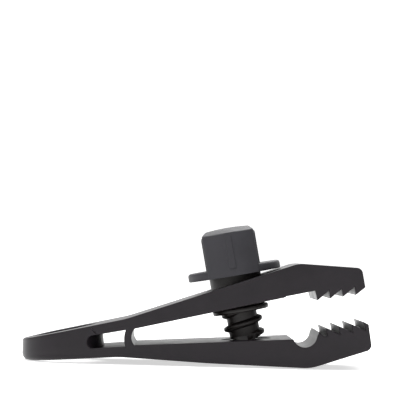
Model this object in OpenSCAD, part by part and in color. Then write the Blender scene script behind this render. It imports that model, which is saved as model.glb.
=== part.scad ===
// Screw-tightened tarp clip, drawn open.
// The clip lies on its tail and its keel, with the jaws towards +X and the screw knob up.
// Places "along" the clip are measured from the tail end, heights from the surface it lies on.

/* [Body] */
// Width of the moulded body, across the jaws
body_w = 26.5; // [22:0.1:32]
// Rounding of the body's front corners in plan
front_corner_r = 0.3; // [0.2:0.1:2]
// Faces on each rounded corner of an outline
corner_faces = 8; // [4:1:16]

/* [Tail loop] */
// Height of the tail end
tail_h = 5.55; // [4.6:0.05:6.4]
// Height of the tail end's lower edge, measured from the keel's
tail_foot_h = -0.4; // [-0.6:0.05:0]
// Place along the clip where the underside turns from tail to arm
tail_kink_at = 27.3; // [26:0.1:29]
// Height of the underside at that turn
tail_kink_h = 1.78; // [1.2:0.02:2.2]
// Place along the clip where the top turns from tail to arm
shoulder_at = 28.8; // [25:0.1:29]
// Slope of the tail's top, in degrees
tail_top_angle = 12.8; // [11:0.1:14.5]
// Rounding of the tail end's upper and lower edges
tail_edge_r = 0.9; // [0.3:0.1:1.6]
// Wall left at the tail end, behind the rope eye
eye_end_wall = 3.2; // [2.4:0.1:4.5]
// Length of the rope eye
eye_l = 17.4; // [15.5:0.1:17.9]
// Width of the rope eye
eye_w = 14; // [11:0.1:15]
// Lean of the rope eye towards the tail end, in degrees
eye_lean = 8; // [0:0.5:12]

/* [Side slot and web] */
// Place along the clip of the side slot's round end, at the body's sides
slot_at = 18.6; // [18:0.1:20.5]
// Height of the side slot at its round end
slot_h = 3.5; // [2.6:0.1:4.2]
// Height of the slot's floor at its round end
slot_floor_h = 3.92; // [3.4:0.05:4.4]
// Slope of the slot's floor, in degrees
slot_floor_angle = 4.8; // [2:0.1:6]
// Slope of the slot's ceiling, in degrees
slot_ceiling_angle = 11; // [8:0.1:12.5]
// Place along the clip where the slot ends at the web
web_at = 28.5; // [27.6:0.1:29.2]
// Thickness of the web at its thinnest
web_t = 1.95; // [1.4:0.05:2.6]
// How far the web's two faces bow towards the tail
web_bow = 0.9; // [0.4:0.05:1.2]
// Wall between the rope eye and the slot, on the middle line
eye_front_wall = 1.6; // [1.2:0.05:2.4]
// Radius in plan of that wall's front face
eye_wall_r = 27.5; // [25:0.5:34]

/* [Arms] */
// Length of the thin part of each arm that bends, next to the web
flex_l = 5; // [4:0.1:6]
// Height of the gap's floor at the web
gap_floor_h = 5.05; // [4.8:0.05:5.4]
// Height of the gap at the web
gap_h = 4.45; // [4:0.05:5]
// Slope of the lower arm's upper face, in degrees
lower_top_angle = 3.6; // [3:0.1:4]
// Slope of the upper arm's lower face with the clip open, in degrees
upper_under_angle = 13.2; // [12.7:0.05:13.6]
// Slope of the upper arm's top with the clip open, in degrees
upper_top_angle = 19.2; // [18.4:0.05:19.4]
// Place along the clip where the lower arm's underside bellies out
belly_at = 51; // [45:0.5:60]
// Height of the underside there
belly_h = 0.68; // [0.4:0.02:0.95]
// Step in the upper arm's lower face, ahead of the screw
under_step = 0.3; // [0.1:0.05:0.6]

/* [Jaws] */
// Place along the clip of the rope notch's centre
notch_at = 77.37; // [76.5:0.05:79]
// Height of the rope notch's centre
notch_h = 8.93; // [8.7:0.05:9.3]
// Radius of the rope notch
notch_r = 3.3; // [2.9:0.05:3.5]
// Height of the notch's front lip above its centre
notch_lip_h = 1.05; // [0.8:0.05:1.3]
// Distance of the keel ahead of the notch
keel_ahead = 1.75; // [0.8:0.05:3]
// Rounding of the keel
keel_r = 12; // [6:0.5:16]
// Rise of the lower jaw's underside ahead of the keel, in degrees
chin_angle = 18.6; // [17:0.1:20]
// Distance of the first lower tooth's tip ahead of the notch
first_tooth_ahead = 5.53; // [5.2:0.01:6]
// Height of the first lower tooth's tip
lower_tooth_h = 11; // [10.8:0.05:11.2]
// Distance between teeth along the clip
tooth_pitch = 3.44; // [3.3:0.01:3.7]
// Rise from one lower tooth to the next
lower_tooth_rise = 0.645; // [0.55:0.005:0.7]
// Depth of the lower teeth
lower_tooth_depth = 2.2; // [1.8:0.05:2.4]
// Undercut of the lower teeth, towards the tail
tooth_hook = 0.55; // [0.2:0.01:0.7]
// Distance of the first upper tooth's tip behind the first lower one
upper_tooth_behind = 2.4; // [2.2:0.05:2.5]
// Height of the first upper tooth's tip with the clip open
upper_tooth_h = 18.37; // [18.2:0.01:18.7]
// Rise from one upper tooth to the next
upper_tooth_rise = 0.58; // [0.55:0.005:0.64]
// Depth of the upper teeth
upper_tooth_depth = 2.2; // [1.8:0.05:2.4]
// Lean of the upper teeth's steep faces, tip ahead of root
upper_tooth_lean = 0.36; // [0.1:0.01:0.5]
// Flat left on the last tooth of each jaw
tip_land = 1.3; // [0.9:0.01:1.5]
// Rounding of the jaws' outer corners
jaw_corner_r = 1.7; // [0.8:0.1:2]
// Rounding where the upper arm's top turns down into the nose
peak_r = 8; // [4:0.5:9]
// Place of the upper arm's peak behind the notch
peak_behind = 2.07; // [1:0.05:4]
// Fall of the nose's top towards the front, in degrees
nose_fall = 2.5; // [1:0.1:5]

/* [Screw] */
// Place along the clip where the screw's axis crosses the upper arm's top
screw_at = 58.8; // [57:0.05:60.4]
// Lean of the screw towards the tail, in degrees
screw_lean = 11.2; // [10.8:0.1:11.6]
// Distance from the upper arm's top to the flange's underside, along the screw
screw_lift = 2.06; // [1.96:0.02:2.3]
// Pitch of the thread
thread_pitch = 3.73; // [3.5:0.01:3.78]
// Outer diameter of the thread
thread_d = 11.1; // [10.2:0.1:11.2]
// Diameter of the thread's root
root_d = 8.6; // [7.9:0.1:8.7]
// Width of the thread's crest
crest_w = 0.9; // [0.6:0.05:1.1]
// Width of the thread at its root
thread_root_w = 2.4; // [2:0.05:2.5]
// Length of the screw below the flange
screw_l = 18.3; // [18:0.1:18.6]
// Diameter of the plain collar that turns in the upper arm
collar_d = 14.4; // [13.4:0.1:14.6]
// Length of the collar below the flange
collar_l = 8.85; // [8.8:0.05:9]
// Depth below the flange of a thread crest on the side of the jaws
crest_depth = 12.7; // [12:0.1:13.5]
// Depth below the flange at which the thread starts to rise
thread_from = 9.9; // [9.6:0.05:10.2]
// Depth below the flange at which the thread has run out
thread_to = 17.3; // [16.6:0.1:17.4]
// Diameter of the screw's end
screw_tip_d = 5.2; // [4.4:0.1:6.4]
// Length of the taper at the screw's end
screw_taper_l = 1.4; // [0.8:0.1:1.8]

/* [Retaining ring] */
// Outer diameter of the ring
ring_d = 15.6; // [15.3:0.1:16.2]
// Thickness of the ring
ring_t = 1.4; // [1.2:0.05:1.5]

/* [Knob] */
// How far the flange's rim stays inside the body's sides
flange_inset = 0.35; // [0.1:0.05:1.1]
// Thickness of the flange
flange_t = 2.3; // [1.8:0.1:2.6]
// Thickness of the knob between its ribbed sides
knob_w = 14.2; // [13:0.1:16]
// Height of the knob from the flange's underside to its crown
knob_h = 13.35; // [12:0.05:15.5]
// How far the knob's ends stay inside the body's sides at their foot
knob_inset = 0.15; // [0.1:0.05:1]
// How far each end of the knob leans in over its height
knob_end_lean = 0.6; // [0.2:0.05:1]
// Drop of the crown from the middle to the knob's ends
crown_drop = 1.7; // [1:0.1:3]
// Bevel along the top of the knob's ribbed sides
knob_bevel = 1.5; // [0.8:0.1:1.8]
// Number of ribs in each group on the knob's sides
rib_count = 5; // [3:1:6]
// Distance between ribs
rib_pitch = 1.4; // [1.3:0.05:1.5]
// Radius of a rib
rib_r = 0.35; // [0.2:0.05:0.45]
// Width of the plain panel between the two groups of ribs
panel_w = 5; // [4:0.1:6]
// Width of the raised strip on the knob's ends
strip_w = 1.9; // [1.2:0.1:3]
// Height of that strip above the knob's end
strip_t = 0.25; // [0.15:0.05:0.4]

/* [Fits] */
// Angle that the upper arm turns through as the jaws close, in degrees
closing_angle = 7.4; // [7.1:0.1:7.5]
// Clearance round the collar in the upper arm
collar_gap = 0.3; // [0.2:0.05:0.45]
// Extra half length of the upper arm's hole, for the screw's change of lean
hole_play = 0.7; // [0.6:0.05:0.9]
// Clearance of the screw's thread in the lower arm, across
thread_gap = 0.25; // [0.15:0.05:0.35]
// Clearance of the screw's thread in the lower arm, along
flank_gap = 0.22; // [0.12:0.02:0.3]
// Clearance round the screw's neck in the ring
neck_gap = 0.08; // [0.04:0.01:0.1]
// Clearance along the screw above the ring
ring_gap = 0.1; // [0.05:0.01:0.15]
// Diameter of the recess round the threaded hole
recess_d = 13.8; // [13.2:0.1:15]
// Depth of that recess below the lower arm's upper face
recess_depth = 0.35; // [0.2:0.05:0.6]

/* [Hidden] */
$fn = 64;
tooth_count = 4;
thread_sides = 24;
moulding_colour = [0.22, 0.215, 0.225];
screw_colour = [0.14, 0.13, 0.13];
knob_colour = [0.27, 0.27, 0.285];

// Rounds the corners of an outline: each point holds its place and its corner's radius
function unit(v) = v / norm(v);
function corner(a, b, c, r) =
    r <= 0 ? [b] :
    let (u = unit(a - b), v = unit(c - b),
         half = acos(max(-1, min(1, u * v))) / 2,
         reach = min(r / tan(half), min(norm(a - b), norm(c - b)) * 0.48),
         radius = reach * tan(half),
         centre = b + unit(u + v) * radius / sin(half),
         from = b + u * reach - centre,
         to = b + v * reach - centre,
         start = atan2(from[1], from[0]),
         sweep = (atan2(to[1], to[0]) - start + 540) % 360 - 180)
    [for (i = [0 : corner_faces])
        centre + radius * [cos(start + sweep * i / corner_faces), sin(start + sweep * i / corner_faces)]];
function flat(p) = [p[0], p[1]];
function rounded(points) =
    let (n = len(points))
    [for (i = [0 : n - 1])
        each corner(flat(points[(i + n - 1) % n]), flat(points[i]), flat(points[(i + 1) % n]),
                    len(points[i]) > 2 ? points[i][2] : 0)];
// Points of an arc through two places that bows towards the tail by a given amount
function bowed(low, high, bow) =
    let (half = norm(high - low) / 2,
         radius = (half * half + bow * bow) / (2 * bow),
         middle = (low + high) / 2,
         side = [-(high - low)[1], (high - low)[0]] / (2 * half),
         centre = middle - side * (radius - bow),
         reach = asin(half / radius),
         heading = atan2(side[1], side[0]))
    [for (i = [0 : corner_faces])
        centre + radius * [cos(heading + reach * (1 - 2 * i / corner_faces)),
                           sin(heading + reach * (1 - 2 * i / corner_faces))]];

// Heights of the long straight faces, at a place along the clip
function tail_top(at) = tail_h + at * tan(tail_top_angle);
function upper_top(at) = tail_top(shoulder_at) + (at - shoulder_at) * tan(upper_top_angle);
function lower_top(at) = gap_floor_h + (at - gap_at) * tan(lower_top_angle);
function upper_under(at) = gap_floor_h + gap_h + (at - gap_at) * tan(upper_under_angle);
function underside(at) =
    tail_kink_h + (belly_h - tail_kink_h) * (at - tail_kink_at) / (belly_at - tail_kink_at);
function slot_floor(at) = slot_floor_h + (at - slot_at - slot_h / 2) * tan(slot_floor_angle);
function slot_ceiling(at) =
    slot_floor_h + slot_h + (at - slot_at - slot_h / 2) * tan(slot_ceiling_angle);

// Places and radii that follow from the sizes above
kink_r = body_w;
belly_r = body_w * 8;
web_share = 0.4;
slot_end = web_at + web_bow * web_share;
gap_at = web_at + web_t + web_bow;
flex_from = gap_at + tail_edge_r / 4;
flex_to = flex_from + flex_l;
eye_front = eye_end_wall + eye_l;
keel_at = notch_at + keel_ahead;
first_lower_tip = [notch_at + first_tooth_ahead, lower_tooth_h];
first_upper_tip = [first_lower_tip[0] - upper_tooth_behind, upper_tooth_h];
function lower_tip(i) = first_lower_tip + i * [tooth_pitch, lower_tooth_rise];
function upper_tip(i) = first_upper_tip + i * [tooth_pitch, upper_tooth_rise];
front_top = lower_tip(tooth_count - 1) + [tip_land, -tip_land / 2];
front_at = front_top[0] + tip_land * 0.85;
chin_h = (front_at - keel_at) * tan(chin_angle);
notch_top_drop = notch_h - lower_top(notch_at - notch_r);
notch_back = [notch_at - sqrt(notch_r * notch_r - notch_top_drop * notch_top_drop),
              notch_h - notch_top_drop];
notch_front = [notch_at + notch_r * cos(5), notch_h - notch_r * sin(5)];
lip = [notch_at + notch_r + tooth_hook, notch_h + notch_lip_h];
peak_at = notch_at - peak_behind;
step_at = notch_at - notch_r * 1.7;
tooth_root_at = first_upper_tip[0] - 2 * upper_tooth_lean;
tooth_root = [tooth_root_at, upper_under(tooth_root_at) + under_step / 2];
nose_low = upper_tip(tooth_count - 1) + [2 * tip_land, upper_tooth_depth];
nose_top_h = upper_top(peak_at) - (nose_low[0] - peak_at) * tan(nose_fall);
nose_back = (nose_top_h - nose_low[1]) / 5;

// The outlines of the lower arm, the upper arm and the tail, seen from the side
lower_points = concat(
    rounded([[flex_to, lower_top(flex_to)], [flex_to, underside(flex_to)],
             [belly_at, belly_h, belly_r], [keel_at, 0, keel_r],
             [front_at, chin_h, jaw_corner_r], front_top]),
    [for (i = [tooth_count - 1 : -1 : 0])
        each [lower_tip(i), lower_tip(i) + [tooth_hook, -lower_tooth_depth]]],
    [first_lower_tip - [tooth_hook, lower_tooth_depth], lip, notch_front, notch_back]);
upper_points = rounded(concat(
    [[flex_to, upper_under(flex_to)], [step_at, upper_under(step_at)],
     [step_at + under_step, upper_under(step_at) + under_step], tooth_root],
    [for (i = [0 : tooth_count - 1]) each [
        if (i > 0) upper_tip(i) + [-upper_tooth_lean, upper_tooth_depth], upper_tip(i)]],
    [nose_low, [nose_low[0] - nose_back, nose_top_h, jaw_corner_r],
     [peak_at, upper_top(peak_at), peak_r], [flex_to, upper_top(flex_to)]]));
tail_points = rounded(concat(
    [[0, tail_foot_h, tail_edge_r], [tail_kink_at, tail_kink_h, kink_r],
     [flex_from, underside(flex_from)], [flex_from, lower_top(flex_from)]],
    bowed([gap_at, lower_top(gap_at)], [gap_at, upper_under(gap_at)], web_bow),
    [[flex_from, upper_under(flex_from)], [flex_from, upper_top(flex_from)],
     [shoulder_at, tail_top(shoulder_at), kink_r], [0, tail_h, tail_edge_r]]));
body_l = max([for (p = lower_points) p[0]]);
ground_h = min([for (p = concat(lower_points, tail_points)) p[1]]);

// The screw lies on one line, and depths along it are measured down from the flange's underside
screw_dir = [-sin(screw_lean), cos(screw_lean)];
flange_at = [screw_at, upper_top(screw_at)] + screw_lift * screw_dir;
under_depth = (flange_at[1] - upper_under(flange_at[0]))
    / (cos(screw_lean) + sin(screw_lean) * tan(upper_under_angle));
arm_depth = (flange_at[1] - lower_top(flange_at[0]))
    / (cos(screw_lean) + sin(screw_lean) * tan(lower_top_angle));
nut_l = lower_top(screw_at) - underside(screw_at);
nut_inset = thread_pitch / 3;
nut_r = thread_d / 2 + thread_gap;
nut_crest_r = root_d / 2 + thread_gap;
thread_embed = (thread_d - root_d) / 6;
ring_slit = ring_t;
flange_d = body_w - 2 * flange_inset;
knob_l = body_w - 2 * knob_inset;
crown_r = (knob_l * knob_l / 4 + crown_drop * crown_drop) / (2 * crown_drop);

// Bores and cuts run this far past the faces that they open
bore_run = body_w;

module across(points, w) {
    rotate([90, 0, 0]) linear_extrude(w, center = true) polygon(points);
}

// The body seen from above: a round tail and a square front
module plan() {
    translate([0, 0, -tail_h]) linear_extrude(body_w * 2) polygon(concat(
        [for (i = [0 : 4 * corner_faces])
            let (a = 90 + 180 * i / (4 * corner_faces)) body_w / 2 * [1 + cos(a), sin(a)]],
        rounded([[body_w, -body_w / 2], [front_at, -body_w / 2, front_corner_r],
                 [front_at, body_w / 2, front_corner_r], [body_w, body_w / 2]])));
}

// The part's origin is on the surface that it lies on, under the middle of its length
module centred() {
    translate([-body_l / 2, 0, -ground_h]) children();
}

// A frame on the screw: its origin is the flange's underside and its Z runs up to the knob
module screw_frame() {
    centred() translate([flange_at[0], 0, flange_at[1]]) rotate([0, -screw_lean, 0]) children();
}

module eye_frame() {
    translate([0, 0, slot_floor_h + slot_h / 2]) rotate([0, -eye_lean, 0]) children();
}

module long_hole(r, half_l, h) {
    for (side = [-1, 1]) translate([side * half_l, 0, 0]) cylinder(r = r, h = h, center = true);
    cube([2 * half_l, 2 * r, h], center = true);
}

// A thread's ridge wound from one depth to another, faded out at both ends
module ridge(from, to, phase, base_r, crest_r, base_half, crest_half) {
    turns = (to - from) / thread_pitch;
    last = ceil(turns * thread_sides);
    points = [for (i = [0 : last])
        let (depth = from + (to - from) * i / last,
             a = 360 * (phase - depth) / thread_pitch,
             fade = min(1, (min(i, last - i) + 0.5) * 5 / thread_sides),
             r = base_r + (crest_r - base_r) * fade,
             half = base_half + (crest_half - base_half) * fade)
        each [for (p = [[base_r, base_half], [r, half], [r, -half], [base_r, -base_half]])
            [p[0] * cos(a), p[0] * sin(a), -depth - p[1]]]];
    faces = concat(
        [[3, 2, 1], [3, 1, 0]],
        [for (i = [0 : last - 1], k = [0 : 3])
            let (a = 4 * i + k, b = 4 * i + (k + 1) % 4)
            each [[a, b, b + 4], [a, b + 4, a + 4]]],
        [[4 * last, 4 * last + 1, 4 * last + 2], [4 * last, 4 * last + 2, 4 * last + 3]]);
    polyhedron(points, crest_r < base_r ? faces : [for (f = faces) [f[2], f[1], f[0]]]);
}

module nut_thread() {
    screw_frame() ridge(arm_depth + nut_inset, arm_depth + nut_l - nut_inset,
                        crest_depth + thread_pitch / 2, nut_r + thread_embed, nut_crest_r,
                        (thread_pitch - crest_w) / 2 - flank_gap,
                        (thread_pitch - thread_root_w) / 2 - flank_gap);
}

module lower_arm() {
    color(moulding_colour) difference() {
        union() {
            difference() {
                centred() intersection() {
                    across(lower_points, body_w);
                    plan();
                }
                centred() translate([notch_at, 0, notch_h]) rotate([90, 0, 0])
                    cylinder(r = notch_r, h = body_w + bore_run, center = true);
                screw_frame() translate([0, 0, -arm_depth - bore_run])
                    cylinder(r = nut_r, h = 2 * bore_run - gap_h);
            }
            intersection() {
                nut_thread();
                centred() across(lower_points, body_w);
            }
        }
        screw_frame() translate([0, 0, -arm_depth]) rotate([0, screw_lean - lower_top_angle, 0])
            translate([0, 0, -recess_depth]) cylinder(d = recess_d, h = gap_h);
    }
}

module upper_arm() {
    color(moulding_colour) difference() {
        centred() intersection() {
            across(upper_points, body_w);
            plan();
        }
        screw_frame() translate([0, 0, -under_depth]) rotate([0, -closing_angle / 2, 0])
            long_hole(collar_d / 2 + collar_gap, hole_play, bore_run);
    }
}

module lower_flexure() {
    color(moulding_colour) centred()
        across([[flex_from, underside(flex_from)], [flex_to, underside(flex_to)],
                [flex_to, lower_top(flex_to)], [flex_from, lower_top(flex_from)]], body_w);
}

module upper_flexure() {
    color(moulding_colour) centred()
        across([[flex_from, upper_under(flex_from)], [flex_to, upper_under(flex_to)],
                [flex_to, upper_top(flex_to)], [flex_from, upper_top(flex_from)]], body_w);
}

// The side slot, with the rope eye's wall standing round into its tail end
module side_slot() {
    difference() {
        across(concat(
            [for (i = [0 : 2 * corner_faces])
                let (a = 90 + 90 * i / corner_faces)
                [slot_at, slot_floor_h] + slot_h / 2 * [1 + cos(a), 1 + sin(a)]],
            bowed([slot_end, slot_floor(slot_end)], [slot_end, slot_ceiling(slot_end)],
                  web_bow * web_share)), body_w + 2 * tail_edge_r);
        eye_frame() translate([eye_front + eye_front_wall - eye_wall_r, 0, 0])
            cylinder(r = eye_wall_r, h = 2 * bore_run, center = true, $fn = 180);
    }
}

module tail_loop() {
    color(moulding_colour) centred() difference() {
        intersection() {
            across(tail_points, body_w);
            plan();
        }
        side_slot();
        eye_frame() translate([eye_end_wall + eye_l / 2, 0, 0])
            long_hole(eye_w / 2, (eye_l - eye_w) / 2, bore_run);
    }
}

module screw_shank() {
    color(screw_colour) screw_frame() {
        translate([0, 0, -collar_l]) cylinder(d = collar_d, h = collar_l);
        translate([0, 0, -screw_l + screw_taper_l]) cylinder(d = root_d, h = screw_l - screw_taper_l);
        translate([0, 0, -screw_l]) cylinder(d1 = screw_tip_d, d2 = root_d, h = screw_taper_l);
        difference() {
            ridge(thread_from, thread_to, crest_depth, root_d / 2 - thread_embed, thread_d / 2,
                  thread_root_w / 2, crest_w / 2);
            translate([0, 0, -collar_l - 2 * ring_gap - ring_t]) cylinder(d = 2 * thread_d, h = 2 * collar_l);
        }
    }
}

module retaining_ring() {
    color(screw_colour) screw_frame() translate([0, 0, -collar_l - ring_gap - ring_t]) difference() {
        rotate_extrude() polygon(rounded([
            [root_d / 2 + neck_gap, 0], [ring_d / 2, 0, ring_t / 4],
            [ring_d / 2, ring_t, ring_t / 4], [root_d / 2 + neck_gap, ring_t]]));
        translate([-ring_slit / 2, 0, -ring_t]) cube([ring_slit, ring_d, 3 * ring_t]);
    }
}

module crown(drop) {
    translate([0, 0, knob_h - drop - crown_r]) sphere(r = crown_r, $fn = 180);
}

module knob_grip() {
    intersection() {
        cylinder(d1 = knob_l, d2 = knob_l - 2 * knob_end_lean, h = knob_h);
        across([[-knob_w / 2, 0], [knob_w / 2, 0], [knob_w / 2, knob_h - knob_bevel],
                [knob_w / 2 - knob_bevel, knob_h], [-knob_w / 2 + knob_bevel, knob_h],
                [-knob_w / 2, knob_h - knob_bevel]], knob_l + knob_w);
        crown(0);
    }
}

module knob_ribs() {
    intersection() {
        for (side = [-1, 1], group = [-1, 1], i = [0 : rib_count - 1])
            translate([side * knob_w / 2, group * (panel_w / 2 + rib_r + i * rib_pitch), 0])
                cylinder(r = rib_r, h = knob_h);
        crown(knob_bevel);
    }
}

module knob_strips() {
    intersection() {
        translate([0, 0, flange_t])
            cylinder(d1 = knob_l + 2 * strip_t, d2 = knob_l - 2 * knob_end_lean + 2 * strip_t, h = knob_h);
        translate([-strip_w / 2, -knob_l, flange_t]) cube([strip_w, 2 * knob_l, knob_h]);
        crown(crown_drop);
    }
}

module thumb_knob() {
    color(knob_colour) screw_frame() {
        rotate_extrude() polygon(rounded([[0, 0], [flange_d / 2, 0, flange_t / 5],
                                          [flange_d / 2, flange_t, flange_t / 2], [0, flange_t]]));
        knob_grip();
        knob_ribs();
        knob_strips();
    }
}

lower_arm();
lower_flexure();
tail_loop();
upper_flexure();
upper_arm();
screw_shank();
thumb_knob();
retaining_ring();
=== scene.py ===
import math

import bpy
from bpy.props import FloatProperty, FloatVectorProperty, IntProperty, PointerProperty
from mathutils import Matrix, Vector


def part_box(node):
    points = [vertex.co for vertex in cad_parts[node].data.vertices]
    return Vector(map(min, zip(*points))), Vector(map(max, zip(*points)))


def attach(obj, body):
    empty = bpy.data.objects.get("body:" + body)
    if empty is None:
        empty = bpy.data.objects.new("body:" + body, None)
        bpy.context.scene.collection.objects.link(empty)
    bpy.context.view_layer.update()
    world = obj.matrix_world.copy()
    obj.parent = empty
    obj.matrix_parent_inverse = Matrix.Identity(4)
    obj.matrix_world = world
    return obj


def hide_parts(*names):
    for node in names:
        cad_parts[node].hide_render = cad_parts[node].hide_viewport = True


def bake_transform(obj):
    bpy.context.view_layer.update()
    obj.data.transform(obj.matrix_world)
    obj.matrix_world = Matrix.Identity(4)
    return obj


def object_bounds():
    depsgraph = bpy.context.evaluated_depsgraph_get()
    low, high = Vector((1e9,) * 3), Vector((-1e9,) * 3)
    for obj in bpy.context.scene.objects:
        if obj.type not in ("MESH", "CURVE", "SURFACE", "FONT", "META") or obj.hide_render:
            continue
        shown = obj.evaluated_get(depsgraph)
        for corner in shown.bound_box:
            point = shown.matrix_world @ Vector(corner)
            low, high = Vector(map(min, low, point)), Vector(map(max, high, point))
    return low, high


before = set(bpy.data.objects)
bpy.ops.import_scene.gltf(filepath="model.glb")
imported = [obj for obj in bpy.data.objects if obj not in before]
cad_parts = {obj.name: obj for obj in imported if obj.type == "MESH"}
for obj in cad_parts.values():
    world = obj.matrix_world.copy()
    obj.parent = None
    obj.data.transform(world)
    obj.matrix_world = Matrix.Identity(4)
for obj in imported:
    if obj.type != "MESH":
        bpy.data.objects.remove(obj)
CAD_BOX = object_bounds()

bl_info = {
    "name": "Tarp Clip",
    "version": (1, 0, 0),
    "blender": (4, 5, 0),
    "location": "View3D > Sidebar > Tarp Clip",
    "description": "Models the moulded body, thumb screw and ring of a tarp clip on a pale studio floor",
    "category": "Add Mesh",
}

# The outlines are drawn in millimetres along the clip from its tail end, and up from the line of its keel.
# A point's third value is the radius of its corner.
MM = 0.001
TAIL_X = CAD_BOX[0][0]
FLOOR_HEIGHT = -0.3224

UNDERSIDE = [(0, -0.4), (27.3, 1.78, 26), (51, 0.68, 200), (79.12, 0, 12)]
CHIN = [(95.625, 5.554, 1.7), (94.52, 12.285)]
NOSE = [(93.42, 22.31), (92.382, 27.495, 1.7), (75.3, 28.286, 8)]
TAIL_TOP = [(28.8, 12.093, 26), (0, 5.55)]
# Rounding of the front's upright corners, and how far the plan that trims the body passes the front
FRONT_CORNER, PLAN_OVERRUN = 0.3, 0.005

# Each row of teeth has its first tip, the step from tip to tip, and the way from a tip to its valley
TEETH = 4
FIRST_LOWER_TOOTH = (82.9, 11.0)
LOWER_TOOTH_STEP = (3.44, 0.645)
LOWER_TOOTH_VALLEY = (0.55, -2.2)
FIRST_UPPER_TOOTH = (80.5, 18.37)
UPPER_TOOTH_STEP = (3.44, 0.58)
UPPER_TOOTH_VALLEY = (-0.36, 2.2)
# Where the finer rounding of the teeth holds: from a place along the clip, and between two heights
TEETH_FROM, TEETH_LOW, TEETH_HIGH = 79.5, 8.5, 22.8
NOTCH_CENTRE = (77.37, 8.93)
NOTCH_LIP = (81.22, 9.98)
NOTCH_FRONT_ANGLE = -5

# Straight inner face of each arm: a point on it and its slope in degrees
GAP_FLOOR = (31.35, 5.05, 3.6)
GAP_CEILING = (31.35, 9.5, 13.2)
GAP_BOW = 0.9
STEP_UNDER_UPPER_ARM = (71.76, 0.3)
# Place, floor and height of the slot's round end, then place, floor, ceiling and bow of its end at the web
SLOT_END = (18.6, 3.92, 3.5)
SLOT_WEB = (28.86, 4.64, 9.06, 0.36)
# A point on the plane that parts the arms inside the slot and gap, and its slope in degrees
PARTING = ((31.35, 7.3), 8.34)
BEND_FROM, BEND_TO = 31.6, 36.6

# The rope eye's middle line starts at this height on the tail's end. Its walls are measured along it.
EYE_HEIGHT = 5.67
EYE_LEAN = math.radians(8)
EYE_END_WALL, EYE_FRONT_WALL = 3.2, 1.6
EYE_WALL_RADIUS = 25
# Places for the rim's rounding to shrink at, clear of the ends of the rope eye and of the slot
RIM_CUTS = (13.8, 15, 16.2, 17.6, 19.3, 20.8, 22.2, 23.4, 24.6)
# Width of the band that counts as the rim, and the height that parts its lower edge from its upper one
RIM_BAND, RIM_MIDDLE = 0.8, 2.6

# The screw leans towards the tail. What is on it is measured along its middle line from the underside of
# the knob's flange: heights and places up it, so that they are negative, and depths and spans down it.
SCREW_TOP = (58.4, 24.561)
SCREW_LEAN = math.radians(11.2)
COLLAR_LENGTH, COLLAR_BEVEL = 8.6, 0.25
TIP_TAPER, TIP_RADIUS, TIP_EDGE = 1.4, 2.5, (0.25, 0.12)
# A ridge's half height is given at its root and at its crest
THREAD_SPAN = (9.9, 17.3)
THREAD_HALF_HEIGHT = (1.2, 0.45)
THREAD_CREST_DEPTH = 12.7
THREAD_SUNK, THREAD_EDGE, THREAD_EDGE_BAND = 0.4, 0.22, 0.3
NUT_SPAN = (19.18, 23.15)
NUT_RADIUS = (6.217, 4.55)
NUT_HALF_HEIGHT = (1.195, 0.445)
RING_HOLE, RING_RIM, RING_TOP, RING_THICKNESS = 4.38, 7.8, -8.95, 1.4
# The ring's bevel has a middle point, at this share of the bevel from the corner
RING_BEVEL, RING_BEVEL_MIDDLE, RING_EDGE = 0.35, 0.3, 0.15

# The hole in the upper arm leans more than the screw, whose middle line it crosses
UPPER_HOLE_RADIUS, UPPER_HOLE_STRETCH, UPPER_HOLE_DEPTH = 7.5, 0.7, 16
UPPER_HOLE_LEAN = math.radians(3.7)
UPPER_HOLE_CROSSING, UPPER_HOLE_RISE = -8.5, 4.5
LOWER_HOLE_RADIUS, LOWER_HOLE_SPAN = 5.8, (-45, -15)
SEAT_RADIUS, SEAT_SPAN, SEAT_PLACE = 6.9, (-0.35, 3), -17.935

# Boxes by two corners: the nut's ridge stays inside the first, the thread inside the second,
# and the third is the ring's slit
ABOVE_UNDERSIDE = ((-60, -20, 0.9), (60, 20, 60))
BELOW_RING = ((-9, -9, -20), (9, 9, -10.45))
SLIT = ((-0.7, 0, -13.95), (0.7, 20, -3.95))

# Lengths of the cutters that pass right through the clip, and how far others pass its sides
PLAN_CUT, EYE_CUT, WALL_CUT, SECTION_CUT = 80, 60, 40, 40
SLOT_PASS, SECTION_PASS = 2, 1
# A point counts as lying on a cutting plane when it is this near, in metres
PLANE_NEAR = 1e-7

# The edges of the knob's flange, as steps in from its rim and from its nearest flat face
FLANGE_LOWER_EDGE = [(0.3, 0), (0.09, 0.09), (0, 0.3)]
FLANGE_UPPER_EDGE = [(0, 0.8), (0.12, 0.38), (0.42, 0.1), (0.85, 0)]
CROWN_DROP = 1.7
KNOB_TURN = math.radians(-2.3)
WING_FOOT, WING_TAPER, WING_EDGE, WING_EDGE_FROM = 0.03, 0.6, 0.3, 0.1
WING_BEVEL, WING_BEVEL_RADIUS = 1.5, 0.7
STRIP_PROUD, STRIP_FOOT, STRIP_BELOW_CROWN, STRIP_TAPER = 0.25, 2.0, 0.7, 0.55
STRIP_HALF_WIDTH, STRIP_EDGE, STRIP_REACH, STRIP_CUT = 0.95, 0.22, 3, 30
RIB_RADIUS, RIB_FIRST, RIB_STEP = 0.36, 2.85, 1.4
RIB_SUNK, RIB_BELOW_CROWN, RIB_EDGE = 0.5, 1.3, 0.12

# Roughness, strength of the cast grain and specular level of each plastic
MOULDED_NYLON = (0.34, 0.12, 0.24)
KNOB_NYLON = (0.5, 0.2, 0.31)
SCREW_NYLON = (0.45, 0.15, 0.4)
RING_NYLON = (0.42, 0.15, 0.4)
# The mottling's two ends, as places on its ramp and shares of the colour, then the sheen's way down and up
TINT_PLACES, TINT_SHARES = (0.3, 0.72), (0.84, 1.18)
SHEEN_LESS, SHEEN_MORE = 0.05, 0.07

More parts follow.
